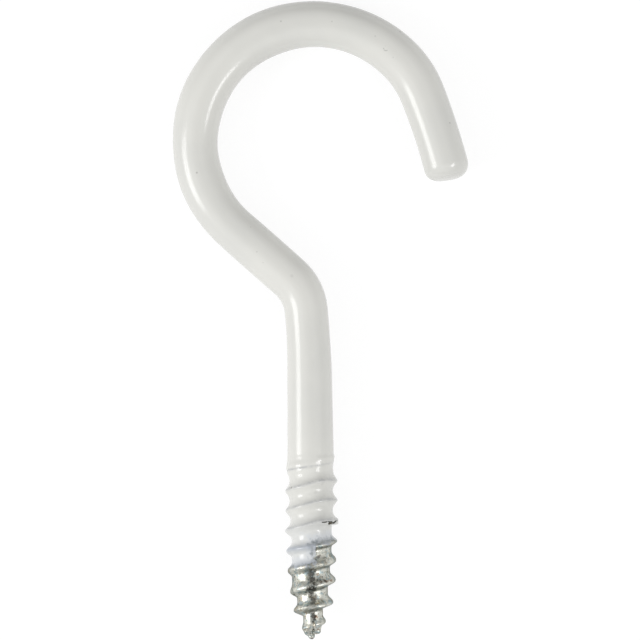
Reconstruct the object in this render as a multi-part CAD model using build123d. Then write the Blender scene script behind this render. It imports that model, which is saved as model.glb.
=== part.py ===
from build123d import *
import os
from math import cos, radians, sin, sqrt

# A screw hook: one length of steel wire, bent to an open hook, with a rolled wood thread.
# It lies flat. X and Y are in the plane of the hook, and Z is up.
# The origin is on the screw's axis, where the plain shank meets the thread.
# The thread points along -Y, the loop is along +Y, and its mouth is on the +X side.
# Sizes are in millimetres and degrees, over the plastic coat where there is one.

# Wire
shank_radius = 2.90       # where the shank meets the thread
neck_radius = 2.73        # where the coat is thinnest, at the top of the shank
loop_radius = 2.86        # round the loop and along the arm

# Route of the wire's centre line, from the thread to the free end
straight_length = 11.7
drift_bend = 95.0         # the shank leans a little before the neck
drift_angle = 4.8
neck_bend = 6.3
neck_angle = 43.1
diagonal_length = 9.1
first_bend = 14.65        # the loop is bent in three stages
first_angle = 113.0
second_bend = 15.2
second_angle = 70.0
third_bend = 12.8
third_angle = 24.0
arm_bend = 79.0
arm_angle = 6.2
arm_length = 2.8
end_slant = 11.0          # how far the cut end is out of square, longer on its outer side
end_rounding = 1.25       # the coat rounds the cut end

# Thread, with a single right-hand start. A depth is measured down from the origin
pitch = 2.5
first_crest = 1.72        # depth at which the crest is first whole, on the +X side
coated_height = 0.35      # crest above the shank, under the coat
bare_height = 0.23        # crest above the shank, past the coat
coated_depth = 0.16       # root below the shank, under the coat
bare_depth = 0.42         # root below the shank, past the coat
coated_length = 9.3       # the coat thins out over this much of the thread
shoulder_length = 0.35    # step from the shank down to the root
start_sink = 0.1          # the ridge starts this far inside the shank
ridge_width = 1.95        # at its foot
crest_width = 0.42
ridge_sink = 0.3          # how far the ridge's foot is sunk in the core
flank_hollow = 0.15       # each flank is broken inwards by this share of the ridge's height

# Point, a blunt cone that ends in two small lobes, as a rolled thread's does
body_length = 14.4        # thread of full size, before the point
cone_length = 5.6
nose_radius = 0.95
ridge_past_cone = 0.4     # where the ridge has sunk into the nose and ends
ridge_spare = 0.1         # this much further on, it would have shrunk to nothing
long_lobe_radius = 0.8
long_lobe_drop = 0.8      # from the cone's end
long_lobe_shift = -0.27   # across, from the screw's axis
short_lobe_radius = 0.5
short_lobe_drop = 0.5
short_lobe_shift = 0.47

cone_end = body_length + cone_length
sections_per_turn = 12


def share(depth, start, length):
    # how far a depth is along a stretch of the thread, held between 0 and 1
    return min(max((depth - start) / length, 0), 1)


def pointTaper(depth):
    # the ridge shrinks as a quarter of an ellipse over the point
    run_out = cone_length + ridge_past_cone + ridge_spare
    return sqrt(1 - share(depth, body_length, run_out) ** 2)


def rootRadius(depth):
    # the coat fills the root by less and less, and the point is a cone
    bare = share(depth, 0, coated_length)
    full = shank_radius - coated_depth - (bare_depth - coated_depth) * bare
    return full + (nose_radius - full) * share(depth, body_length, cone_length)


def crestRadius(depth):
    # the crest rises out of the shank in its first turn, and rounds down over the point
    bare = share(depth, 0, coated_length)
    height = coated_height + (bare_height - coated_height) * bare
    risen = share(depth, first_crest - pitch, pitch)
    full = shank_radius + height * risen - start_sink * (1 - risen)
    return full * pointTaper(depth)


def makeCore():
    # shank, thread core and point, turned about the screw's axis
    sides = Polyline(
        (0, straight_length),
        (neck_radius, straight_length),
        (shank_radius, 0),
        (rootRadius(0), -shoulder_length),
        (rootRadius(coated_length), -coated_length),
        (rootRadius(body_length), -body_length),
        (nose_radius, -cone_end),
    )
    nose = CenterArc((0, -cone_end), nose_radius, 270, 90)
    middle = Line((0, -cone_end - nose_radius), (0, straight_length))
    return revolve(make_face([sides, nose, middle]), axis=Axis.Y)


def makeLobes():
    # the two rounded ends of the point, with their poles along the screw
    upright = Rot(90, 0, 0)
    long_place = Pos(long_lobe_shift, -cone_end - long_lobe_drop, 0)
    short_place = Pos(short_lobe_shift, -cone_end - short_lobe_drop, 0)
    long_lobe = long_place * upright * Sphere(long_lobe_radius)
    short_lobe = short_place * upright * Sphere(short_lobe_radius)
    return [long_lobe, short_lobe]


def ridgeSection(turn):
    # the ridge, cut by the plane through the screw's axis this many turns after its first whole crest
    depth = first_crest + pitch * turn
    angle = radians(360 * turn)
    outward = Vector(cos(angle), 0, sin(angle))
    along = Vector(0, 1, 0)
    plane = Plane(origin=along * -depth, x_dir=outward, z_dir=outward.cross(along))
    foot = rootRadius(depth) - ridge_sink
    crest = crestRadius(depth)
    height = crest - foot
    middle = (foot + crest) / 2 - flank_hollow * height
    half_foot = ridge_width / 2 * pointTaper(depth)
    half_crest = crest_width / 2 * pointTaper(depth)
    half_middle = (half_foot + half_crest) / 2
    profile = Polyline(
        (foot, -half_foot),
        (middle, -half_middle),
        (crest, -half_crest),
        (crest, half_crest),
        (middle, half_middle),
        (foot, half_foot),
        close=True,
    )
    return plane * Wire(profile.edges())


def makeRidge():
    # one loft for each turn, from the start inside the shank to the end inside the point
    last_turn = (cone_end + ridge_past_cone - first_crest) / pitch
    lofts = round(last_turn + 1)
    steps = lofts * sections_per_turn
    turns = [-1 + (last_turn + 1) * step / steps for step in range(steps + 1)]
    sections = [ridgeSection(turn) for turn in turns]
    pieces = []
    for first in range(0, steps, sections_per_turn):
        pieces.append(Solid.make_loft(sections[first : first + sections_per_turn + 1]))
    return pieces


def disc(line, at, radius):
    # a round section across a line of the route
    return Plane(origin=line @ at, z_dir=line % at) * Circle(radius)


def makeBends():
    # the coat thickens along the diagonal, and has one size round the neck and round the loop
    straight = Line((0, 0), (0, straight_length))
    drift = JernArc(straight @ 1, straight % 1, drift_bend, drift_angle)
    neck = JernArc(drift @ 1, drift % 1, neck_bend, neck_angle)
    diagonal = Line(neck @ 1, neck @ 1 + neck % 1 * diagonal_length)
    lower = sweep(disc(drift, 0, neck_radius), path=Wire([drift, neck]))
    lower += loft([disc(diagonal, 0, neck_radius), disc(diagonal, 1, loop_radius)])

    first = JernArc(diagonal @ 1, diagonal % 1, first_bend, -first_angle)
    second = JernArc(first @ 1, first % 1, second_bend, -second_angle)
    third = JernArc(second @ 1, second % 1, third_bend, -third_angle)
    arm = JernArc(third @ 1, third % 1, arm_bend, -arm_angle)
    # the wire runs on past its end, and a slanted cut trims it
    last = Line(arm @ 1, arm @ 1 + arm % 1 * (arm_length + loop_radius))
    upper = sweep(disc(first, 0, loop_radius), path=Wire([first, second, third, arm, last]))
    end = Plane(origin=arm @ 1 + arm % 1 * arm_length, z_dir=(arm % 1).rotate(Axis.Z, -end_slant))
    upper -= extrude(end * Circle(2 * loop_radius), 3 * loop_radius)
    rim = upper.edges().sort_by(lambda edge: (edge.center() - end.origin).length)[0]
    return lower + fillet(rim, end_rounding)


hook = makeCore() + makeRidge() + makeLobes() + makeBends()

os.makedirs("parts", exist_ok=True)
export_step(hook, "parts/hook.step")
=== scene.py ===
import bpy
import math
import numpy as np
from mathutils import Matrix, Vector, noise


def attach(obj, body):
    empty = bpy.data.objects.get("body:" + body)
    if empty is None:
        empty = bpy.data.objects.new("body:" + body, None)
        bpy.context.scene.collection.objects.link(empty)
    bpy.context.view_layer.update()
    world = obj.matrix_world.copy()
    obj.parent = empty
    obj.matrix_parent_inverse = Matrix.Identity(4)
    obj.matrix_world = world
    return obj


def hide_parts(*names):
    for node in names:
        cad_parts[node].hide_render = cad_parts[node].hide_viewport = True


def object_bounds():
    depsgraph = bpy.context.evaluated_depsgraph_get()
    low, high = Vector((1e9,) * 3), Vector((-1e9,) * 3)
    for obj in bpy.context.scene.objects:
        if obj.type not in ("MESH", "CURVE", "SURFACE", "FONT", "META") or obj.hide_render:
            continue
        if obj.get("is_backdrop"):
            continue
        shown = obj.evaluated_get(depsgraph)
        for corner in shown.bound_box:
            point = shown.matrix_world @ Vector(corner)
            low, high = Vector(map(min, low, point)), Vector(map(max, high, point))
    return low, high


# A screw hook: one steel wire with a glossy off-white coat, bare zinc-plated metal at the thread's end.
# It lies flat, with the thread along -Y and the loop along +Y. The camera looks straight down on it.
# Sizes below are in millimetres and degrees, and turn into metres where a mesh is made.

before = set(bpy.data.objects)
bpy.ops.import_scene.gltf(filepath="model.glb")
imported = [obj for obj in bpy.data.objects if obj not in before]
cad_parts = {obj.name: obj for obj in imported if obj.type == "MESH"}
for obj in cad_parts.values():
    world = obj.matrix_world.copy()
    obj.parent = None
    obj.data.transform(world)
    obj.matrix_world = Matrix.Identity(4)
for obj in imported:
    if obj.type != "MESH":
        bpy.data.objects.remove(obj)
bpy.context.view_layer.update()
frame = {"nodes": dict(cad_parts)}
mm = 0.001
print("frame loaded:", ", ".join(frame["nodes"]))

wire = {
    # the route of the centre line, from the thread to the free end:
    # straight runs with their length, and bends with their radius and turn
    "legs": [
        ("run", 11.7),
        ("bend", 95.0, 4.8),
        ("bend", 6.3, 43.1),
        ("run", 9.1),
        ("bend", 14.65, -113.0),
        ("bend", 15.2, -70.0),
        ("bend", 12.8, -24.0),
        ("bend", 79.0, -6.2),
        ("run", 2.6),
    ],
    # how thick the coated wire is along that route: (distance, radius)
    "radii": [
        (0.0, 2.90), (1.4, 2.90), (7.1, 2.84), (10.9, 2.81), (17.8, 2.70), (22.6, 2.76), (29.4, 2.80),
        (35.3, 2.76), (41.0, 2.85), (45.5, 2.80), (49.8, 2.90), (56.1, 2.89), (63.6, 2.95), (68.6, 2.88),
        (73.1, 2.86), (79.8, 2.88), (83.6, 2.87), (87.4, 2.83), (91.1, 2.80), (97.7, 2.81),
    ],
    "middleRadius": 2.8,    # about the middle of those, where noise is read
    "around": 160,          # mesh divisions round the wire
    "ringStep": 0.75,       # between rings along the wire
    "endSlant": 7.5,        # the cut end is out of square, longer on its outer side
    "slantRun": 7.0,        # the rings lean over to it along this much of the arm
    "endTilt": 8.0,         # and it looks up a little
    "innerRounding": 1.25,  # rounding of the cut end at the loop's inner and outer side
    "outerRounding": 2.1,
    "endRings": 14,
    "flatRings": (0.8, 0.6, 0.4, 0.2),   # rings of the flat part, as shares of its radius
    "endCrown": 0.06,       # the flat part is this much higher in its middle
    "lastRing": 2.4,        # the rounding has room from here to the end
    "waviness": 0.009,      # the coat isn't perfectly even
    "waveSize": 2.4,
}

thread = {
    # crest lines, one entry for each half turn from firstTurn on: (depth below the shank's end, radius)
    # turn 0 is the first whole crest on the right
    "firstTurn": -1.5,
    "crests": [
        (-2.05, 2.70), (-0.74, 2.78), (0.47, 2.98), (1.80, 3.30), (2.98, 3.23), (4.25, 3.29),
        (5.45, 3.23), (6.80, 3.31), (7.98, 3.34), (9.27, 3.19), (10.50, 3.20), (11.66, 3.03),
        (12.97, 3.05), (14.15, 2.94), (15.62, 2.77), (16.95, 2.60), (17.98, 2.37), (19.40, 1.64),
        (20.55, 1.16),
    ],
    # root of the thread below each crest line: (turn, radius). The point steps down from turn to turn
    "roots": [
        (-1.0, 2.71), (-0.5, 2.71), (0.0, 2.72), (1.0, 2.69), (2.0, 2.54), (3.0, 2.48), (3.5, 2.46),
        (4.0, 2.38), (4.5, 2.42), (5.0, 2.10), (5.5, 1.80), (6.0, 1.38), (6.5, 1.22), (7.0, 1.10),
        (7.5, 1.0),
    ],
    "pitch": 2.5,
    "middleRoot": 2.5,             # about the middle radius of the roots
    "middleCrest": 3.3,            # and of the crests
    "shankRadius": 2.93,           # just above the thread
    "swelling": 0.06,              # more on the left, near the thread
    "rootShift": 0.13,             # past the coat the core sits this far off the axis, to the left
    "firstSag": 0.205,             # the first groove falls this far to its hollow
    "firstSagRun": 1.0,            # and over this depth
    "upperCrest": (0.58, 1.75),    # half width and sharpness of a coated crest, towards the shank
    "lowerCrest": (0.58, 1.85),    # and towards the point
    "bareUpper": (0.60, 2.4),      # and the same past the coat, where the roots are flat
    "bareLower": (0.50, 2.7),
    "endNarrowing": 0.25,          # crests are narrower by this share at the point
    "lipNarrowing": 0.25,          # and by this share just past the chipped crest
    "frontLift": 0.48,             # the coat's crest lines sit this much higher on the front right
    "liftAngle": 65.0,
    "liftSpread": 48.0,
    "shoulderDrop": 0.015,         # the coat has a low bead above the first crest line, and drops to it
    "shoulderRun": 0.50,           # over this depth
    "beadHeight": 0.09,
    "beadAbove": 0.40,
    "beadRise": 0.30,              # further above it on the right
    "beadWidth": 0.42,
    "ringStep": 0.052,             # rings are this close together
    "startDepth": -1.6,            # from here to the point
    "ringGrowth": 1.12,            # and then wider by this factor from one to the next
    "grit": 0.011,                 # roughness of the bare metal's shape
    "pointGrit": 0.0176,           # and of the point's
    "gritSize": 0.22,
}

point = {
    # the blunt point: rounded lumps (across, depth, up, radius) that run into each other
    "lumps": [
        (-0.17, 21.16, 0.0, 0.41),
        (-0.52, 20.52, 0.14, 0.60),
        (-0.48, 20.55, -0.16, 0.60),
        (0.56, 20.52, 0.10, 0.44),
        (0.60, 20.12, 0.06, 0.45),
        (-0.12, 20.42, -0.24, 0.55),
        (-0.50, 19.95, 0.0, 0.80),
        (0.34, 19.55, -0.10, 0.85),
        (-0.05, 19.40, 0.0, 1.12),
    ],
    "startDepth": 19.5,
    "endDepth": 21.56,
    "endAcross": -0.17,
    "bendDepth": 20.1,             # the middle of the rings moves across from here to the end
    "crispness": 20.0,             # how sharply the lumps meet
    "furthest": 2.2,               # no lump reaches further than this
    "halvings": 26,                # steps to find how far one does
    "rings": 46,
    "ringBunching": 1.9,           # they are closer together towards the end
    "ridgeEnd": (20.1, 20.75),     # the thread's ridge fades out between these depths
    "splitAcross": 0.10,           # a crease between the two lobes, on the front
    "splitWidth": 0.13,
    "splitDepth": 0.20,
}

coatEdge = {
    "rightDepth": 9.13,            # the coat ends here on the right of the screw
    "rightFrom": 0.46,             # which starts this far right of the middle
    "rightBack": 1.2,              # and goes this far down its back
    "leftDepth": 12.45,            # and here on the left
    "frontRise": 0.45,             # but this much higher at the front
    "backDepth": 11.0,
    "rightFilm": 0.95,             # on the right it is a mere film this far above and beside its edge
    "lowFilm": 0.45,               # and this far on the left
    "rag": 0.30,                   # how ragged its edge is
    "sideRag": 2.2,                # and this much more so along the screw
    "ragSize": 0.55,
    "softness": 0.12,              # half the width of the step at its edge
    "step": 0.035,                 # thickness of the coat there
}

burr = {
    # the third crest is chipped on its right front side, and the coat there is lifted to a square lip
    "turn": 2,
    "fromAngle": -38.0,
    "toAngle": 44.0,
    "fade": 12.0,
    "top": 3.36,                   # radius of the lip
    "lipAbove": (-0.42, -0.12),    # it rises over this stretch above the crest line
    "lipBelow": 0.44,              # and its flat top reaches this far below that line
    "lipEdge": 0.12,               # from there it drops over this much
    "undercut": 0.20,              # depth of the hollow under it
    "hollowEnd": (0.9, 1.5),
    # dark cracks in the lip: (angle, depth) of both ends, and half width
    "chips": [
        (65.0, 6.88, 54.0, 6.84, 0.085), (51.0, 6.80, 38.0, 6.84, 0.045),
        (43.5, 7.00, 41.0, 6.94, 0.16), (36.0, 7.02, 21.0, 6.77, 0.105),
        (17.0, 6.71, 11.0, 6.70, 0.045),
    ],
    "chipSink": 0.12,
}

coat = {
    "white": (0.770, 0.765, 0.724, 1),
    "shade": (0.730, 0.728, 0.692, 1),     # its slight, slow unevenness
    "speck": (0.30, 0.29, 0.27, 1),
    "thinCoat": (0.655, 0.69, 0.745, 1),   # bluish where the metal shows through
    "film": (0.28, 0.31, 0.335, 1),        # and where there is only a film of it
    "crestWearAndShade": (0.38, 0.395, 0.415, 1),    # worn thin, and painted darker with the shade that falls on the upper side of the crest lines
    "crestAbove": 0.12,                    # this far above them, on the upper flank where that painted shade sits
    "lastCrest": (0.42, 0.46, 0.52, 1),    # the last coated crest is worn nearly through
    "thinShare": 0.62,                     # how strongly the thin coat shows
    "filmShares": (0.36, 0.55),            # the film everywhere, and this much more in its blotches
    "crestWearAndShadeShare": 0.52,                    # the worn crest lines with their painted shade
    "lastCrestShare": 0.75,                # and the last one, which starts between these depths
    "lastCrestDepth": (9.2, 10.2),
    "roughness": 0.17,
    "roughnessSpread": 0.07,
    "dimple": 0.18,                        # height of its faint ripple, in hundredths of a millimetre
    # marks in the skin: (distance along the wire, angle round it, radius, strength)
    "marks": [
        (65.20, 106, 0.13, 0.40), (71.37, 98, 0.11, 0.30), (76.96, 98, 0.12, 0.28),
        (79.04, 156, 0.17, 0.65), (42.01, 96, 0.14, 0.50), (90.85, 134, 0.14, 0.45),
        (32.17, 57, 0.09, 0.30), (29.53, 96, 0.10, 0.35), (28.06, 107, 0.09, 0.30),
        (24.27, 83, 0.24, 0.16), (80.34, 81, 0.09, 0.30), (-2.50, 141, 0.17, 1.0),
        (-2.10, 63, 0.26, 0.16), (-3.15, 78, 0.22, 0.12),
    ],
    "markSink": -0.6,                      # how deep they are, in hundredths of a millimetre
    "ringMark": (78.90, 87, 0.27, 0.07),   # a small ring: distance, angle, radius and width
    "ringStrength": 0.5,
}


def legEnds():
    # where each leg of the route starts, and how long it is
    starts = []
    x, y, heading, along = 0.0, 0.0, math.pi / 2, 0.0
    for leg in wire["legs"]:
        if leg[0] == "run":
            length, turn, radius = leg[1], 0.0, 0.0
            endX, endY = x + math.cos(heading) * length, y + math.sin(heading) * length
        else:
            radius, turn = leg[1], math.radians(leg[2])
            length = radius * abs(turn)
            side = math.copysign(1, turn)
            centreX = x - math.sin(heading) * radius * side
            centreY = y + math.cos(heading) * radius * side
            endX = centreX + math.sin(heading + turn) * radius * side
            endY = centreY - math.cos(heading + turn) * radius * side
        starts.append((along, length, x, y, heading, turn, radius))
        x, y, heading, along = endX, endY, heading + turn, along + length
    return starts, along


routeLegs, wireLength = legEnds()
around = wire["around"]
angles = np.arange(around) * 2 * math.pi / around    # 0 is on the right of the route, and 90 degrees is up
cosine, sine = np.cos(angles), np.sin(angles)
endSlopes = [math.tan(math.radians(wire[lean])) for lean in ("endSlant", "endTilt")]


def routeAt(along):
    # the middle of the wire and its heading at a distance along the route, negative in the thread
    if along <= 0:
        return 0.0, along, math.pi / 2
    for start, length, x, y, heading, turn, radius in routeLegs:
        if along <= start + length + 1e-6:
            part = along - start
            if radius == 0:
                return x + math.cos(heading) * part, y + math.sin(heading) * part, heading
            side = math.copysign(1, turn)
            now = heading + side * part / radius
            centreX = x - math.sin(heading) * radius * side
            centreY = y + math.cos(heading) * radius * side
            return centreX + math.sin(now) * radius * side, centreY - math.cos(now) * radius * side, now
    return routeAt(wireLength)


def easedTable(table, at):
    # a smooth line through a table of (place, value)
    places, values = np.array(table).T
    slopes = np.gradient(values, places)
    at = np.clip(at, places[0], places[-1])
    i = np.clip(np.searchsorted(places, at, side="right") - 1, 0, len(places) - 2)
    gap = places[i + 1] - places[i]
    t = (at - places[i]) / gap
    return (
        values[i] * (1 + 2 * t) * (1 - t) ** 2
        + slopes[i] * gap * t * (1 - t) ** 2
        + values[i + 1] * t * t * (3 - 2 * t)
        + slopes[i + 1] * gap * t * t * (t - 1)
    )


def eased(low, high, at):
    t = np.clip((at - low) / (high - low), 0, 1)
    return t * t * (3 - 2 * t)


def noiseOver(points, size, octaves=3):
    # smooth noise, about -1 to 1, at points in millimetres
    scaled = points.reshape(-1, 3) / size
    values = [noise.fractal(Vector(p), 0.6, 2.1, octaves) for p in scaled]
    return np.array(values).reshape(points.shape[:-1])


def aroundGap(angle, degrees):
    # how far round the wire an angle is from another, in degrees
    return (np.degrees(angle) - degrees + 180) % 360 - 180


def pastCoatEdge(depth, angle):
    # how far past the coat's edge a place is, negative under the coat, and how much of the coat is a film
    across, up = np.cos(angle), np.sin(angle)
    edge, root = coatEdge, thread["middleRoot"]
    alongTurn = thread["pitch"] * np.clip(aroundGap(angle, 0), 0, 90) / 360
    belowRight = depth - edge["rightDepth"] - alongTurn
    rightSide = np.minimum(root * across - edge["rightFrom"], root * up + edge["rightBack"])
    leftDepth = edge["leftDepth"] - edge["frontRise"] * eased(-0.6, 0.3, across)
    lowDepth = leftDepth + (edge["backDepth"] - leftDepth) * eased(-0.1, -0.8, up)
    pastRight, pastLow = np.minimum(belowRight, rightSide), depth - lowDepth
    rightFilm = eased(-edge["rightFilm"], -0.3, pastRight)
    lowFilm = eased(-edge["lowFilm"], 0.0, pastLow)
    return np.maximum(pastRight, pastLow), np.maximum(rightFilm, lowFilm)


def pointRadius(depth, angle, across):
    # how far the point's lumps reach from the middle of a ring, found by halving
    low, high = np.zeros_like(depth), np.full_like(depth, point["furthest"])
    crisp = point["crispness"]
    for _ in range(point["halvings"]):
        reach = (low + high) / 2
        x, z = across + reach * np.cos(angle), reach * np.sin(angle)
        total = 0
        for lumpX, lumpDepth, lumpZ, radius in point["lumps"]:
            distance = np.sqrt((x - lumpX) ** 2 + (depth - lumpDepth) ** 2 + (z - lumpZ) ** 2) - radius
            total = total + np.exp(-crisp * distance)
        inside = total > 1
        low, high = np.where(inside, reach, low), np.where(inside, high, reach)
    return (low + high) / 2


def threadRadius(depth, angle, bare):
    # the radius of the screw at a depth and angle, how far that is below the nearest crest line, and its turn
    crests = thread["crests"]
    turns = thread["firstTurn"] + np.arange(len(crests)) * 0.5
    depthAtTurn = [(t, crest[0]) for t, crest in zip(turns, crests)]
    radiusAtTurn = [(t, crest[1]) for t, crest in zip(turns, crests)]
    fromLift = aroundGap(angle, thread["liftAngle"]) / thread["liftSpread"]
    lift = thread["frontLift"] * np.exp(-(fromLift**2))
    lines = []
    for whole in range(-2, 9):
        turn = whole + angle / (2 * math.pi)
        inThread = (turn >= turns[0]) & (turn <= turns[-1])
        coatedShare = eased(-0.7, -0.1, turn) * eased(3.1, 2.5, turn)
        lines.append((whole, turn, easedTable(depthAtTurn, turn) - lift * coatedShare, inThread))

    # the crest line above each place, and how far the first one is below the shank
    none = -3.0
    turnAbove, depthAbove = np.full_like(depth, none), np.full_like(depth, none)
    toShoulder = np.full_like(depth, 9.0)
    for whole, turn, crestDepth, inThread in lines:
        below = (crestDepth <= depth) & inThread
        turnAbove = np.where(below, turn, turnAbove)
        depthAbove = np.where(below, crestDepth, depthAbove)
        starting = (turn > -1.15) & (turn < -0.15) & (crestDepth > depth)
        toShoulder = np.where(starting, crestDepth - depth, toShoulder)

    # the shank, with its low bead over the first crest line
    across = np.cos(angle)
    swelling = eased(-1.2, -0.2, depth) * eased(0.3, -0.8, across)
    drop = np.clip(1 - toShoulder / thread["shoulderRun"], 0, 1) ** 2
    beadAbove = thread["beadAbove"] + thread["beadRise"] * eased(-0.1, 0.35, across)
    bead = np.exp(-(((toShoulder - beadAbove) / thread["beadWidth"]) ** 2))
    shank = thread["shankRadius"] + thread["swelling"] * swelling
    shank = shank + thread["beadHeight"] * bead - thread["shoulderDrop"] * drop

    # the roots, which start under the first crest line: above that line the shank is still whole
    groove = easedTable(thread["roots"], turnAbove) - coatEdge["step"] * bare * eased(3, 8, depth)
    shifted = eased(3.0, 4.2, turnAbove) * eased(6.5, 5.5, turnAbove)
    groove = groove - thread["rootShift"] * across * shifted
    falling = np.clip(1 - (depth - depthAbove) / thread["firstSagRun"], 0, 1) ** 2
    groove = groove + thread["firstSag"] * falling * eased(0.3, -0.3, turnAbove)
    root = shank + (groove - shank) * eased(-1.15, -0.9, turnAbove)

    # and the crests
    def flank(away, narrow, upper, lower):
        # a crest's height at a distance from its line, which can differ between its two sides
        width, power = [np.where(away < 0, above, below) for above, below in zip(upper, lower)]
        return np.exp(-np.abs(away / (width * narrow)) ** power)

    radius = root.copy()
    nearest, turnHere = np.full_like(depth, 9.0), np.zeros_like(depth)
    for whole, turn, crestDepth, inThread in lines:
        away = depth - crestDepth
        risen = eased(turns[-1] + 0.1, turns[-1] - 0.6, turn)
        height = np.maximum(easedTable(radiusAtTurn, turn) - root, 0) * risen
        atLip = eased(2.5, 3.0, turn) * eased(3.5, 3.1, turn)
        narrow = 1 - thread["endNarrowing"] * eased(5.5, 7.2, turn) - thread["lipNarrowing"] * atLip
        coated = flank(away, narrow, thread["upperCrest"], thread["lowerCrest"])
        plain = flank(away, narrow, thread["bareUpper"], thread["bareLower"])
        ridge = root + height * (coated + (plain - coated) * eased(2.7, 3.4, turn))
        # a little before the screw's right side, the lip's crest line still counts as the turn before
        lipHere = whole + (angle > math.pi) == burr["turn"]
        ridge = ridge + burrShape(away, angle, ridge) * lipHere
        radius = np.maximum(radius, np.where(inThread, ridge, root))
        closer = (np.abs(away) < np.abs(nearest)) & inThread
        nearest = np.where(closer, away, nearest)
        turnHere = np.where(closer, turn, turnHere)
    return radius, nearest, turnHere


def burrShape(away, angle, ridge):
    # what the lip adds to a crest: a flat top with a steep lower side
    half = (burr["toAngle"] - burr["fromAngle"]) / 2
    gap = np.abs(aroundGap(angle, (burr["toAngle"] + burr["fromAngle"]) / 2))
    held = 1 - eased(half - burr["fade"] / 2, half + burr["fade"] / 2, gap)
    under = burr["lipBelow"]
    lip = eased(*burr["lipAbove"], away) * (1 - eased(under, under + burr["lipEdge"], away))
    hollow = eased(under + 0.05, under + 0.2, away) * (1 - eased(*burr["hollowEnd"], away))
    return ((burr["top"] - ridge) * lip - burr["undercut"] * hollow) * held


def ringPlaces():
    # distances along the wire of all rings: close together in the thread, then wider
    rings = list(-np.arange(point["startDepth"], thread["startDepth"], -thread["ringStep"]))
    along, step = rings[-1], thread["ringStep"]
    while along < wireLength - wire["lastRing"]:
        step = min(step * thread["ringGrowth"], wire["ringStep"])
        along += step
        rings.append(along)
    return np.array(rings)


def sweepRings(places, radii, slants=None, tilts=None):
    # points of rings across the wire, in millimetres. They can be slanted and tilted
    rings = np.zeros((len(places), around, 3))
    for i, place in enumerate(places):
        x, y, heading = routeAt(place)
        ahead = 0 if slants is None else radii[i] * (slants[i] * cosine + tilts[i] * sine)
        rings[i, :, 0] = x + math.sin(heading) * radii[i] * cosine + math.cos(heading) * ahead
        rings[i, :, 1] = y - math.cos(heading) * radii[i] * cosine + math.sin(heading) * ahead
        rings[i, :, 2] = radii[i] * sine
    return rings


def pointRings():
    # the point, from its very end up, and where its crest line is
    share = np.linspace(0.02, 1, point["rings"])
    start, end = point["startDepth"], point["endDepth"]
    depths = end - (end - start) * share ** point["ringBunching"]
    depth, angle = np.meshgrid(depths, angles, indexing="ij")
    middle = point["endAcross"] * eased(start, point["bendDepth"], depths)
    middle = np.repeat(middle[:, None], around, axis=1)
    lumps = pointRadius(depth, angle, middle)
    ridges, crestLine, _ = threadRadius(depth, angle, np.ones_like(depth))
    fullUntil, goneFrom = point["ridgeEnd"]
    ridgeShare = eased(goneFrom, fullUntil, depth)
    radius = lumps + (np.maximum(ridges, lumps) - lumps) * ridgeShare
    fromSplit = (middle + radius * np.cos(angle) - point["splitAcross"]) / point["splitWidth"]
    split = np.exp(-(fromSplit**2)) * eased(0.2, 0.6, np.sin(angle)) * eased(19.5, 19.9, depth)
    radius = radius - point["splitDepth"] * split * eased(21.1, 20.7, depth)
    points = np.stack([middle + radius * np.cos(angle), -depth, radius * np.sin(angle)], axis=-1)
    grit = noiseOver(points, thread["gritSize"]) * thread["pointGrit"]
    points[..., 0] += np.cos(angle) * grit
    points[..., 2] += np.sin(angle) * grit
    return points, np.exp(-((crestLine / 0.2) ** 2)) * ridgeShare


def chippedPlaces(depth, angle, rag):
    # 1 in the cracks of the chipped crest, and 0 elsewhere
    chip = np.zeros_like(depth)
    for angleA, depthA, angleB, depthB, halfWidth in burr["chips"]:
        right = np.radians(aroundGap(angle, angleA)) * thread["middleCrest"]
        down = depth - depthA
        spanRight, spanDown = math.radians(angleB - angleA) * thread["middleCrest"], depthB - depthA
        part = np.clip((right * spanRight + down * spanDown) / (spanRight**2 + spanDown**2), 0, 1)
        gap = np.hypot(right - part * spanRight, down - part * spanDown)
        chip = np.maximum(chip, 1 - eased(0.5, 1.5, gap / halfWidth + rag * 0.4))
    return chip


def bodyRings():
    # the thread, the shank and the loop, and the values that the finish reads there
    places = ringPlaces()[1:]
    depth, angle = np.meshgrid(-places, angles, indexing="ij")
    ground = sweepRings(places, np.full(len(places), wire["middleRadius"]))
    inThread = depth > -3

    # the coat's ragged edge
    noisy = noiseOver(ground, coatEdge["ragSize"])
    rag = noisy * coatEdge["rag"]
    pastEdge, film = pastCoatEdge(depth - rag, angle + rag * coatEdge["sideRag"] / thread["middleRoot"])
    bare = np.where(inThread, eased(-coatEdge["softness"], coatEdge["softness"], pastEdge), 0)

    # the screw runs over into the plain wire just above its first crest line
    screw, crestLine, turnHere = threadRadius(depth, angle, bare)
    plain = easedTable(wire["radii"], places)[:, None]
    radius = plain + (screw - plain) * eased(-1.7, -1.2, depth)
    radius = radius + noiseOver(ground, wire["waveSize"], 2) * wire["waviness"] * (1 - bare)
    threadRings = (places < 0).sum()
    grit = noiseOver(ground[:threadRings], thread["gritSize"])
    radius[:threadRings] += grit * thread["grit"] * bare[:threadRings]
    chip = chippedPlaces(depth, angle, noisy)
    radius = radius - burr["chipSink"] * chip

    leaning = eased(wireLength - wire["slantRun"], wireLength, places)
    points = sweepRings(places, radius, -endSlopes[0] * leaning, -endSlopes[1] * leaning)

    # the crest lines, wider and a little higher where the coat is worn, so that their painted shade sits on
    # the upper flanks
    pastFirst = eased(-0.4, 0.0, turnHere)
    fromLine = crestLine + coat["crestAbove"] * (1 - bare) * pastFirst
    crest = np.exp(-((fromLine / (0.155 + 0.075 * pastFirst)) ** 2)) * eased(-1.05, -0.7, turnHere)
    layers = {
        "pastEdge": np.where(inThread, np.clip(pastEdge, -9, 9), -9),
        "crest": crest * inThread,
        "chip": chip,
        "film": film * inThread,
        "depth": np.clip(depth, -5, 30),
    }
    return points, radius[-1], layers


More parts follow.
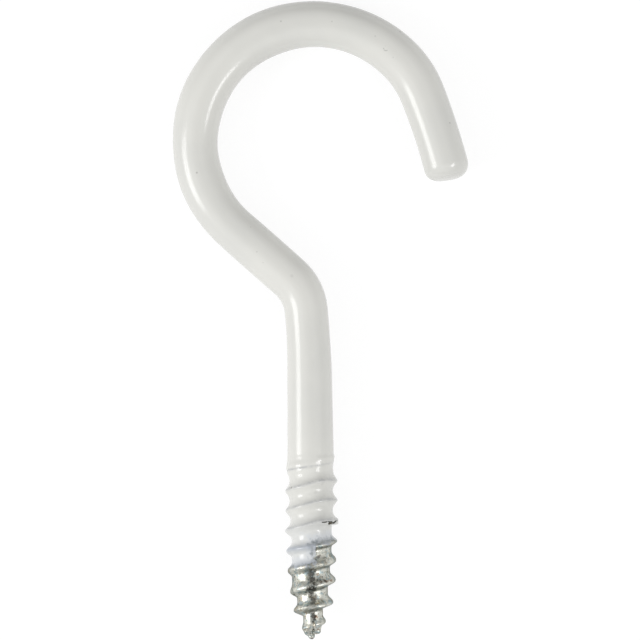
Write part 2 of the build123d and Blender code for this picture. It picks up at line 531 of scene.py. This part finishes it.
def cutEndRings(radius):
    # the rounded end of the wire, and its very middle
    x, y, heading = routeAt(wireLength)
    inner, outer, crown = wire["innerRounding"], wire["outerRounding"], wire["endCrown"]
    corner = outer + (inner - outer) * (cosine + 1) / 2
    rows = []          # (radius, distance ahead) of each ring
    for bend in np.linspace(0, math.pi / 2, wire["endRings"]):
        rows.append((radius - corner * (1 - math.cos(bend)), -corner * (1 - math.sin(bend))))
    for shrink in wire["flatRings"]:
        rows.append(((radius - corner) * shrink, crown * (1 - shrink**2)))
    rings = np.zeros((len(rows), around, 3))
    for i, (reach, ahead) in enumerate(rows):
        ahead = ahead - reach * (endSlopes[0] * cosine + endSlopes[1] * sine)
        rings[i, :, 0] = x + math.sin(heading) * reach * cosine + math.cos(heading) * ahead
        rings[i, :, 1] = y - math.cos(heading) * reach * cosine + math.sin(heading) * ahead
        rings[i, :, 2] = reach * sine
    return rings, (x + math.cos(heading) * crown, y + math.sin(heading) * crown, 0)


def buildHook():
    # one closed skin: the point, the thread, the wire and its cut end
    tip, tipCrest = pointRings()
    body, lastRadius, layers = bodyRings()
    end, endPole = cutEndRings(lastRadius)
    tipPole = (point["endAcross"], -point["endDepth"], 0)
    points = np.concatenate([tip, body, end])
    vertices = np.concatenate([points.reshape(-1, 3), [tipPole, endPole]]) * mm
    faces = []
    for ring in range(len(points) - 1):
        low, high = ring * around, (ring + 1) * around
        for j in range(around):
            k = (j + 1) % around
            faces.append((low + j, high + j, high + k, low + k))
    tipIndex, endIndex = len(points) * around, len(points) * around + 1
    top = (len(points) - 1) * around
    for j in range(around):
        k = (j + 1) % around
        faces.append((tipIndex, j, k))
        faces.append((endIndex, top + k, top + j))
    mesh = bpy.data.meshes.new("screwHookMesh")
    mesh.from_pydata(vertices.tolist(), [], faces)
    mesh.validate()
    mesh.shade_smooth()
    mesh.calc_loop_triangles()

    # values for each point of the mesh, which the finish reads: name, at the point, and on the cut end
    for name, atTip, atEnd in (
        ("pastEdge", 9, -9), ("crest", tipCrest, 0), ("chip", 0, 0), ("film", 1, 0), ("depth", 20, -5)
    ):
        tipValues = np.broadcast_to(atTip, tip.shape[:2]).ravel()
        endValues = np.full(len(end) * around, atEnd)
        poles = [tipValues[0], atEnd]
        values = np.concatenate([tipValues, layers[name].ravel(), endValues, poles])
        mesh.attributes.new(name, "FLOAT", "POINT").data.foreach_set("value", values.astype(np.float32))
    return mesh


hookMesh = buildHook()
hook = bpy.data.objects.new("coatedScrewHook", hookMesh)
bpy.context.scene.collection.objects.link(hook)
print("hook built:", len(hookMesh.vertices), "points", len(hookMesh.loop_triangles), "triangles")


def makeGroup(name, inputs, outputs):
    group = bpy.data.node_groups.new(name, "ShaderNodeTree")
    for label, kind, value in inputs:
        socket = group.interface.new_socket(label, in_out="INPUT", socket_type="NodeSocket" + kind)
        socket.default_value = value
    for label, kind in outputs:
        group.interface.new_socket(label, in_out="OUTPUT", socket_type="NodeSocket" + kind)
    return group, group.nodes.new("NodeGroupInput"), group.nodes.new("NodeGroupOutput")


class Wiring:
    # short ways to add nodes to one tree
    def __init__(self, tree):
        self.tree = tree

    def add(self, kind, **settings):
        node = self.tree.nodes.new("ShaderNode" + kind)
        for key, value in settings.items():
            setattr(node, key, value)
        return node

    def join(self, source, target):
        self.tree.links.new(source, target)

    def put(self, socket, value):
        # a socket is joined if the value is another node's socket, and set if it isn't
        if isinstance(value, bpy.types.NodeSocket):
            self.join(value, socket)
        else:
            socket.default_value = value

    def sums(self, operation, a, b=None, c=None):
        node = self.add("Math", operation=operation)
        for i, value in enumerate((a, b, c)):
            if value is not None:
                self.put(node.inputs[i], value)
        return node.outputs[0]

    def ramp(self, value, fromLow, fromHigh, toLow=0.0, toHigh=1.0):
        node = self.add("MapRange", interpolation_type="SMOOTHSTEP")
        for i, item in enumerate((value, fromLow, fromHigh, toLow, toHigh)):
            self.put(node.inputs[i], item)
        return node.outputs[0]

    def blend(self, share, a, b):
        node = self.add("Mix", data_type="RGBA")
        self.put(node.inputs[0], share)
        self.put(node.inputs[6], a)
        self.put(node.inputs[7], b)
        return node.outputs[2]

    def blendValue(self, share, a, b):
        node = self.add("Mix", data_type="FLOAT")
        self.put(node.inputs[0], share)
        self.put(node.inputs[2], a)
        self.put(node.inputs[3], b)
        return node.outputs[0]

    def clouds(self, place, scale, detail=2.0, rough=0.5, distortion=0.0):
        node = self.add("TexNoise")
        self.put(node.inputs["Vector"], place)
        self.put(node.inputs["Scale"], scale)
        self.put(node.inputs["Detail"], detail)
        self.put(node.inputs["Roughness"], rough)
        self.put(node.inputs["Distortion"], distortion)
        return node.outputs["Fac"]

    def cells(self, place, scale):
        node = self.add("TexVoronoi")
        self.put(node.inputs["Vector"], place)
        self.put(node.inputs["Scale"], scale)
        return node.outputs["Distance"], node.outputs["Color"]


def coatSkin():
    group, entry, leave = makeGroup(
        "coatSkin",
        [
            ("Place", "Vector", (0, 0, 0)),
            ("White", "Color", coat["white"]),
            ("Shade", "Color", coat["shade"]),
            ("Roughness", "Float", coat["roughness"]),
            ("Roughness Spread", "Float", coat["roughnessSpread"]),
        ],
        [("Color", "Color"), ("Roughness", "Float"), ("Height", "Float")],
    )
    w = Wiring(group)
    place = entry.outputs["Place"]
    slow = w.clouds(place, 95.0, 3.0, 0.55)
    color = w.blend(w.ramp(slow, 0.35, 0.68), entry.outputs["White"], entry.outputs["Shade"])
    distance, tint = w.cells(place, 260.0)
    rare = w.ramp(tint, 0.90, 0.93)
    dot = w.ramp(distance, 0.035, 0.012)
    pores = w.sums("MULTIPLY", rare, dot)
    color = w.blend(w.sums("MULTIPLY", pores, 0.45), color, coat["speck"])
    smear = w.clouds(place, 420.0, 2.0, 0.6)
    rough = w.sums("MULTIPLY_ADD", smear, entry.outputs["Roughness Spread"], entry.outputs["Roughness"])
    ripple = w.clouds(place, 520.0, 1.0, 0.4)
    fine = w.clouds(place, 2600.0, 1.0, 0.5)
    height = w.sums("ADD", ripple, w.sums("MULTIPLY", fine, 0.12))
    height = w.sums("SUBTRACT", height, w.sums("MULTIPLY", pores, 0.8))
    w.join(color, leave.inputs["Color"])
    w.join(rough, leave.inputs["Roughness"])
    w.join(height, leave.inputs["Height"])
    return group


zinc = {
    "bright": (0.68, 0.675, 0.61, 1),      # clean plate
    "grey": (0.27, 0.285, 0.245, 1),       # dull patches
    "warm": (0.40, 0.29, 0.15, 1),         # tarnish
    "cool": (0.34, 0.44, 0.47, 1),         # bluish sheen
    "dark": (0.035, 0.032, 0.026, 1),      # flecks, dirt and cracks, and the painted dark reflection and shade
    "roughness": 0.26,
    "roughnessSpread": 0.24,
    "relief": 2.4,                         # height of its bumps, in hundredths of a millimetre
    "sunk": -1.8,                          # and how far they lie below the coat
    "cleanCrestAndHighlight": 0.25,                    # the crests are this much cleaner, and lighter with a painted highlight
    "crestDulling": 0.03,                  # but scratched, so a little rougher
    "darkSpotDulling": 0.3,                    # and where it is darkened, by dirt and by painted shade, this much rougher
    "rim": (0.195, 0.215, 0.225, 1),       # dull at its sides, as seen at a low angle
    # dark dirt and rust in it, and painted darkness for the dark reflection down the screw's middle and the
    # shade in the point's groove: (across, depth, up, radius, strength) in the screw's own place
    "dirtAndPaintedShade": [
        (-0.10, 13.3, 2.4, 0.40, 0.75), (-0.05, 14.0, 2.4, 0.44, 0.8), (0.25, 14.7, 2.5, 0.42, 0.8),
        (-0.62, 15.4, 2.6, 0.22, 0.9), (-0.20, 15.85, 2.2, 0.40, 0.9), (-0.95, 16.0, 2.0, 0.24, 0.6),
        (0.2, 15.3, 2.3, 0.38, 0.85), (0.05, 17.1, 1.9, 0.34, 0.7), (1.05, 17.3, 1.9, 0.16, 0.7),
        (0.10, 18.65, 1.25, 0.34, 0.75), (0.22, 19.0, 1.2, 0.2, 0.8), (-0.05, 19.8, 0.9, 0.2, 0.9),
        (0.05, 20.25, 0.75, 0.2, 0.95), (0.18, 20.75, 0.55, 0.2, 0.95), (-0.72, 20.5, 0.5, 0.2, 0.7),
        (-0.12, 21.45, 0.2, 0.18, 0.6), (0.3, 12.9, 2.4, 0.28, 0.6), (-0.35, 12.5, 2.5, 0.26, 0.6),
        (0.65, 14.1, 2.5, 0.24, 0.6), (0.08, 19.35, 1.15, 0.16, 0.8), (-0.05, 12.7, 2.45, 0.34, 0.7),
        (0.1, 16.5, 2.0, 0.34, 0.7), (-0.25, 14.5, 2.4, 0.3, 0.6), (0.15, 10.6, 2.5, 0.30, 0.5),
        (0.30, 11.6, 2.6, 0.26, 0.55), (-0.30, 15.1, 2.5, 0.42, 0.95), (0.15, 14.9, 2.5, 0.40, 0.95),
        (-0.75, 15.7, 2.2, 0.26, 0.8), (0.45, 15.6, 2.3, 0.26, 0.7), (0.95, 13.9, 2.5, 0.30, 0.6),
        (1.55, 14.25, 2.2, 0.24, 0.6),
    ],
    "rust": [
        (2.45, 14.0, 1.7, 0.36, 0.8), (1.85, 14.15, 2.2, 0.32, 0.7), (1.15, 14.2, 2.6, 0.28, 0.6),
        (1.45, 15.2, 1.7, 0.24, 0.6), (0.42, 18.7, 1.2, 0.24, 0.85), (0.75, 13.4, 2.3, 0.24, 0.6),
        (0.85, 11.2, 2.4, 0.26, 0.5), (0.5, 16.2, 2.0, 0.25, 0.5), (0.62, 20.3, 0.6, 0.18, 0.6),
    ],
    "rustShade": (0.17, 0.085, 0.04, 1),
}


def zincPlate():
    group, entry, leave = makeGroup(
        "zincPlate",
        [
            ("Place", "Vector", (0, 0, 0)),
            ("Bright", "Color", zinc["bright"]),
            ("Grey", "Color", zinc["grey"]),
            ("Warm", "Color", zinc["warm"]),
            ("Cool", "Color", zinc["cool"]),
            ("Dark", "Color", zinc["dark"]),
            ("Roughness", "Float", zinc["roughness"]),
            ("Roughness Spread", "Float", zinc["roughnessSpread"]),
        ],
        [("Color", "Color"), ("Roughness", "Float"), ("Height", "Float")],
    )
    w = Wiring(group)
    place = entry.outputs["Place"]

    def moved(offset):
        # the same place, shifted, for noise that doesn't follow the rest
        shifted = w.add("VectorMath", operation="ADD")
        w.put(shifted.inputs[0], place)
        shifted.inputs[1].default_value = offset
        return shifted.outputs[0]

    patches = w.clouds(place, 1700.0, 4.0, 0.7, 0.6)
    color = w.blend(w.ramp(patches, 0.47, 0.68), entry.outputs["Bright"], entry.outputs["Grey"])
    tarnish = w.clouds(moved((0.013, 0.007, 0.021)), 900.0, 4.0, 0.7, 0.8)
    color = w.blend(w.sums("MULTIPLY", w.ramp(tarnish, 0.54, 0.68), 0.7), color, entry.outputs["Warm"])
    sheen = w.clouds(moved((0.031, 0.011, 0.005)), 1600.0, 3.0, 0.65, 0.5)
    color = w.blend(w.sums("MULTIPLY", w.ramp(sheen, 0.50, 0.64), 0.8), color, entry.outputs["Cool"])
    flecks = w.clouds(place, 4200.0, 3.0, 0.7, 0.5)
    spots = w.clouds(moved((0.002, 0.017, 0.009)), 1900.0, 4.0, 0.75, 0.7)
    dark = w.sums("MAXIMUM", w.ramp(flecks, 0.60, 0.70), w.ramp(spots, 0.60, 0.67))
    color = w.blend(w.sums("MULTIPLY", dark, 0.85), color, entry.outputs["Dark"])
    spread = entry.outputs["Roughness Spread"]
    rough = w.sums("MULTIPLY_ADD", patches, spread, entry.outputs["Roughness"])
    rough = w.sums("MULTIPLY_ADD", dark, 0.22, rough)
    height = w.sums("MULTIPLY_ADD", flecks, -0.8, w.sums("MULTIPLY", patches, 1.2))
    w.join(color, leave.inputs["Color"])
    w.join(rough, leave.inputs["Roughness"])
    w.join(height, leave.inputs["Height"])
    return group


def markPoint(along, degrees):
    # a point on the skin, in metres
    x, y, heading = routeAt(along)
    angle = math.radians(degrees)
    if along < 0:
        radius = float(threadRadius(np.array([-along]), np.array([angle]), 0.0)[0][0])
    else:
        radius = float(easedTable(wire["radii"], np.array([along]))[0])
    out, up = radius * math.cos(angle), radius * math.sin(angle)
    return ((x + math.sin(heading) * out) * mm, (y - math.cos(heading) * out) * mm, up * mm)


def hookFinish():
    material = bpy.data.materials.new("coatedSteel")
    material.use_nodes = True
    tree = material.node_tree
    w = Wiring(tree)
    shader = tree.nodes["Principled BSDF"]
    place = w.add("TexCoord").outputs["Object"]

    def layer(name):
        return w.add("Attribute", attribute_name=name).outputs["Fac"]

    def placed(group):
        node = w.add("Group", node_tree=group)
        w.join(place, node.inputs["Place"])
        return node

    skin, metal = placed(coatSkin()), placed(zincPlate())

    def distanceTo(spot):
        node = w.add("VectorMath", operation="DISTANCE")
        w.join(place, node.inputs[0])
        node.inputs[1].default_value = spot
        return node.outputs["Value"]

    def strongest(masks):
        total = masks[0]
        for mask in masks[1:]:
            total = w.sums("MAXIMUM", total, mask)
        return total

    def spots(table):
        # soft spots, each broken up by noise
        uneven = w.sums("SUBTRACT", w.clouds(place, 3600.0, 3.0, 0.7), 0.5)
        masks = []
        for across, depthAt, up, size, strength in table:
            away = distanceTo((across * mm, -depthAt * mm, up * mm))
            reach = w.sums("MULTIPLY_ADD", uneven, size * mm * 2.6, away)
            masks.append(w.ramp(reach, size * mm * 1.3, size * mm * 0.6, 0.0, strength))
        return strongest(masks)

    # single marks in the skin, and a broken ring
    marks = []
    for along, degrees, size, strength in coat["marks"]:
        away = distanceTo(markPoint(along, degrees))
        marks.append(w.ramp(away, size * mm * 1.25, size * mm * 0.35, 0.0, strength))
    along, degrees, size, width = coat["ringMark"]
    offRing = w.sums("SUBTRACT", distanceTo(markPoint(along, degrees)), size * mm)
    offRing = w.sums("ABSOLUTE", offRing)
    onRing = w.ramp(offRing, width * mm * 1.7, width * mm * 0.5, 0.0, coat["ringStrength"])
    broken = w.ramp(w.clouds(place, 2400.0, 2.0, 0.6), 0.44, 0.56)
    marks.append(w.sums("MULTIPLY", broken, onRing))
    marked = strongest(marks)

    # how much coat there is: it ends raggedly, and is flaked a little above its edge
    pastEdge, crest, chip, depth = layer("pastEdge"), layer("crest"), layer("chip"), layer("depth")
    ragged = w.clouds(place, 2100.0, 4.0, 0.7)
    shifted = w.sums("MULTIPLY_ADD", w.sums("SUBTRACT", ragged, 0.5), 1.6, pastEdge)
    bare = w.ramp(shifted, -0.24, 0.16)
    flaked = w.ramp(w.clouds(place, 3300.0, 2.0, 0.6), 0.60, 0.66)
    nearEdge = w.ramp(pastEdge, -0.45, 0.05)
    bare = w.sums("MAXIMUM", bare, w.sums("MULTIPLY", flaked, nearEdge))

    # the coat's colour: bluish where it is thin, then a mere film, and on the crest lines worn thin and
    # painted with the shade of their upper flanks
    patchyCrest = w.ramp(w.clouds(place, 1500.0, 3.0, 0.6), 0.34, 0.62)
    crestShow = w.sums("MULTIPLY", crest, w.sums("MULTIPLY_ADD", patchyCrest, 0.6, 0.4))
    thin = w.ramp(pastEdge, -2.3, -0.6)
    upper = w.ramp(depth, 5.0, 9.0, 0.0, 0.35)
    thinShare = w.sums("MULTIPLY", w.sums("MAXIMUM", thin, upper), coat["thinShare"])
    skinColor = w.blend(thinShare, skin.outputs["Color"], coat["thinCoat"])
    blotch = w.ramp(w.clouds(place, 1300.0, 3.0, 0.65), 0.40, 0.62)
    least, blotchy = coat["filmShares"]
    film = w.sums("MULTIPLY", layer("film"), w.sums("MULTIPLY_ADD", blotch, blotchy, least))
    skinColor = w.blend(film, skinColor, coat["film"])
    # painted shade: the crest lines' upper flanks are darkened here, together with the coat worn thin on them
    skinColor = w.blend(w.sums("MULTIPLY", crestShow, coat["crestWearAndShadeShare"]), skinColor, coat["crestWearAndShade"])
    lastCrest = w.sums("MULTIPLY", w.sums("POWER", crest, 0.22), w.ramp(depth, *coat["lastCrestDepth"]))
    lastShare = w.sums("MULTIPLY", lastCrest, coat["lastCrestShare"])
    skinColor = w.blend(lastShare, skinColor, coat["lastCrest"])
    skinColor = w.blend(marked, skinColor, coat["speck"])

    # the bare metal: rust, cleaner crests with a painted highlight, dirt in its hollows with a painted dark
    # reflection down its middle and painted shade in the point's groove, and darker along the coat's edge
    bare = w.sums("MAXIMUM", bare, w.ramp(chip, 0.35, 0.65))
    chipDark = w.sums("MULTIPLY", w.ramp(chip, 0.3, 0.8), 0.8)
    metalColor = w.blend(chipDark, metal.outputs["Color"], zinc["dark"])
    metalColor = w.blend(spots(zinc["rust"]), metalColor, zinc["rustShade"])
    # painted highlight: the metal's crest lines are lightened towards the clean plate, for the bright line of
    # light along them as well as cleaner metal
    cleanLitCrest = w.sums("MULTIPLY", crest, w.sums("SUBTRACT", 1.0, chipDark))
    metalColor = w.blend(w.sums("MULTIPLY", cleanLitCrest, zinc["cleanCrestAndHighlight"]), metalColor, zinc["bright"])
    alongEdge = w.sums("MULTIPLY", w.ramp(pastEdge, 0.65, 0.1), w.sums("MULTIPLY_ADD", blotch, 0.3, 0.35))
    alongEdge = w.sums("MULTIPLY", alongEdge, w.sums("MULTIPLY_ADD", crest, -0.7, 1.0))
    # painted shade and dirt: besides dirt, the spots paint the dark reflection down the screw's middle and
    # the shade in the point's groove, and the metal is darker along the coat's edge
    dirtAndPaintedShade = w.sums("MAXIMUM", spots(zinc["dirtAndPaintedShade"]), alongEdge)
    metalColor = w.blend(dirtAndPaintedShade, metalColor, zinc["dark"])
    metalRough = w.sums("MULTIPLY_ADD", cleanLitCrest, zinc["crestDulling"], metal.outputs["Roughness"])
    metalRough = w.sums("MULTIPLY_ADD", dirtAndPaintedShade, zinc["darkSpotDulling"], metalRough)

    w.join(w.blend(bare, skinColor, metalColor), shader.inputs["Base Color"])
    w.join(bare, shader.inputs["Metallic"])
    w.join(w.blend(bare, (1, 1, 1, 1), zinc["rim"]), shader.inputs["Specular Tint"])
    w.join(w.blendValue(bare, skin.outputs["Roughness"], metalRough), shader.inputs["Roughness"])
    shader.inputs["IOR"].default_value = 1.5

    skinHeight = w.sums("MULTIPLY", skin.outputs["Height"], coat["dimple"])
    skinHeight = w.sums("MULTIPLY_ADD", marked, coat["markSink"], skinHeight)
    metalHeight = w.sums("MULTIPLY_ADD", metal.outputs["Height"], zinc["relief"], zinc["sunk"])
    height = w.blendValue(bare, skinHeight, metalHeight)
    bump = w.add("Bump")
    bump.inputs["Strength"].default_value = 1.0
    bump.inputs["Distance"].default_value = 0.01 * mm
    w.join(height, bump.inputs["Height"])
    w.join(bump.outputs["Normal"], shader.inputs["Normal"])
    return material


hookMesh.materials.append(hookFinish())
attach(hook, "root")
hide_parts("hook")
print("finish made")

studio = {
    "floorSize": 1.6,
    "floorGap": 0.02,          # millimetres under the lowest point
    "floorShade": (0.62, 0.62, 0.62, 1),
    "seenShade": (0.22, 0.22, 0.22, 1),   # the part of the floor's white that takes light and shadow
    "glow": 0.84,                         # and the part that doesn't
    # lamps: name, bearing and height in degrees as seen from the hook, distance, width, length, power, tint
    "lamps": [
        ("leftSoftbox", 192.5, 30.0, 0.60, 0.300, 0.265, 1.60, (0.990, 0.995, 1.0)),
        ("rightSoftbox", -27.0, 42.0, 0.60, 0.270, 0.125, 0.92, (0.990, 0.995, 1.0)),
    ],
    "skyLow": 0.80,            # strength of the sky near the horizon, higher up and overhead
    "skyHigh": 0.69,
    "skyTop": 0.06,
    "skyLoop": 0.95,           # how much darker it is low down beyond the loop
    "skyPoint": 0.65,          # and beyond the point
    "skyLeft": 0.04,           # and how much brighter on the left
}


def studioFloor():
    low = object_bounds()[0].z
    half = studio["floorSize"] / 2
    mesh = bpy.data.meshes.new("floorMesh")
    corners = [(-half, -half, 0), (half, -half, 0), (half, half, 0), (-half, half, 0)]
    mesh.from_pydata(corners, [], [(0, 1, 2, 3)])
    floor = bpy.data.objects.new("studioFloor", mesh)
    floor.location.z = low - studio["floorGap"] * mm
    bpy.context.scene.collection.objects.link(floor)
    material = bpy.data.materials.new("paleFloor")
    material.use_nodes = True
    tree = material.node_tree
    w = Wiring(tree)
    tree.nodes.remove(tree.nodes["Principled BSDF"])
    paint = w.add("BsdfDiffuse")
    paint.inputs["Color"].default_value = studio["floorShade"]
    seenPaint = w.add("BsdfDiffuse")
    seenPaint.inputs["Color"].default_value = studio["seenShade"]
    glow = w.add("Emission")
    glow.inputs["Strength"].default_value = studio["glow"]
    both = w.add("AddShader")
    w.join(seenPaint.outputs[0], both.inputs[0])
    w.join(glow.outputs[0], both.inputs[1])
    light = w.add("LightPath")
    seen = w.sums("MAXIMUM", light.outputs["Is Camera Ray"], light.outputs["Is Glossy Ray"])
    seen = w.sums("MAXIMUM", seen, light.outputs["Is Transmission Ray"])
    mix = w.add("MixShader")
    w.join(seen, mix.inputs[0])
    w.join(paint.outputs[0], mix.inputs[1])
    w.join(both.outputs[0], mix.inputs[2])
    w.join(mix.outputs[0], tree.nodes["Material Output"].inputs["Surface"])
    mesh.materials.append(material)
    floor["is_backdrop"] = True


def studioSky():
    world = bpy.data.worlds.new("studioSky")
    bpy.context.scene.world = world
    world.use_nodes = True
    w = Wiring(world.node_tree)
    direction = w.add("TexCoord").outputs["Generated"]
    parts = w.add("SeparateXYZ")
    w.join(direction, parts.inputs[0])
    up = parts.outputs["Z"]
    overhead = w.ramp(up, 0.90, 0.975)
    high = w.ramp(up, 0.10, 0.75)

    def dimmer(side, share):
        # less light low down, far along +Y (MAXIMUM) or -Y (MINIMUM)
        reach = w.sums(side, parts.outputs["Y"], 0.0)
        return w.sums("MULTIPLY", w.sums("MULTIPLY", reach, reach), -share * studio["skyLow"])

    low = w.sums("ADD", dimmer("MAXIMUM", studio["skyLoop"]), dimmer("MINIMUM", studio["skyPoint"]))
    low = w.sums("ADD", low, studio["skyLow"])
    low = w.sums("MULTIPLY_ADD", parts.outputs["X"], -studio["skyLeft"], low)
    strength = w.blendValue(high, low, studio["skyHigh"])
    strength = w.blendValue(overhead, strength, studio["skyTop"])
    w.join(strength, world.node_tree.nodes["Background"].inputs["Strength"])
    world.node_tree.nodes["Background"].inputs["Color"].default_value = (1, 1, 1, 1)


def studioLamps():
    target = Vector((0.0, 0.02, 0.0))
    for name, bearing, height, distance, width, tall, power, tint in studio["lamps"]:
        a, e = math.radians(bearing), math.radians(height)
        data = bpy.data.lights.new(name, "AREA")
        data.shape = "RECTANGLE"
        data.size = width
        data.size_y = tall
        data.energy = power
        data.color = tint
        lamp = bpy.data.objects.new(name, data)
        towards = Vector((math.cos(a) * math.cos(e), math.sin(a) * math.cos(e), math.sin(e)))
        lamp.location = target + distance * towards
        lamp.rotation_euler = (target - lamp.location).to_track_quat("-Z", "Y").to_euler()
        bpy.context.scene.collection.objects.link(lamp)


def studioCamera():
    # straight above, far off, with the shank leaning a little to the left in the picture
    view = {"middle": (1.38, 18.40), "width": 80.16, "lens": 500, "lean": 0.712}
    data = bpy.data.cameras.new("camera")
    data.lens = view["lens"]
    data.sensor_width = 36
    data.clip_start, data.clip_end = 0.01, 5
    camera = bpy.data.objects.new("camera", data)
    distance = view["width"] / 2 / (data.sensor_width / 2 / data.lens)
    camera.location = (view["middle"][0] * mm, view["middle"][1] * mm, distance * mm)
    camera.rotation_euler = (0, 0, -math.radians(view["lean"]))
    bpy.context.scene.collection.objects.link(camera)
    bpy.context.scene.camera = camera


studioFloor()
studioSky()
studioLamps()
studioCamera()
bpy.context.scene.view_settings.view_transform = "Standard"
print("studio set")
